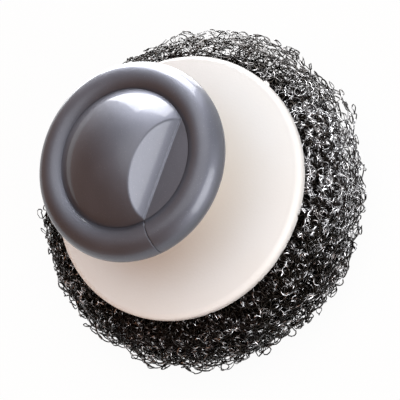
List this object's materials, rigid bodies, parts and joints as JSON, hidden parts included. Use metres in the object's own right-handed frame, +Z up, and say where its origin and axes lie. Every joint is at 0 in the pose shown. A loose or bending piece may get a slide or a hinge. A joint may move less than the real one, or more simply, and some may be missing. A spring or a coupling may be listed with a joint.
{
  "type": "palm scourer",
  "caption": "Palm-held pot scourer: a round grey knob with a domed cap, screwed through a white bell-shaped cover to a knitted steel-wire scourer.",
  "frame": {"origin": "on the floor, under the middle of the scourer", "axes": "+Z up along the axis that the knob turns on; the thumb flat of the knob's cap faces -Y"},
  "size_m": [0.1146, 0.1144, 0.0734],
  "materials": {
    "white_moulding": "satin",
    "grey_moulding": "gloss",
    "bright_steel": "satin",
    "pressed_wire": "matte",
    "scourer_wire": "satin"
  },
  "bodies": {
    "base": {"base_cover": "white_moulding", "thrust_washer": "bright_steel", "scourer_core": "pressed_wire", "scourer_mesh": "scourer_wire"},
    "knob": {"knob_hub": "grey_moulding", "grip_ring": "grey_moulding", "knob_cap": "grey_moulding", "captive_nut": "bright_steel"},
    "clamp": {"clamp_plate": "white_moulding", "tie_bolt": "bright_steel"}
  },
  "joints": [
    {"name": "knob_turn", "type": "hinge", "parent": "base", "child": "knob", "pos_m": [0, 0, 0.0607], "axis": [0, 0, 1], "range_deg": [0, 1440]},
    {"name": "clamp_drop", "type": "slide", "parent": "base", "child": "clamp", "axis": [0, 0, -1], "range_m": [0, 0.004]}
  ],
  "couplings": [
    {"joint": "clamp_drop", "follows": "knob_turn", "m_per_rad": 0.00015915}
  ]
}
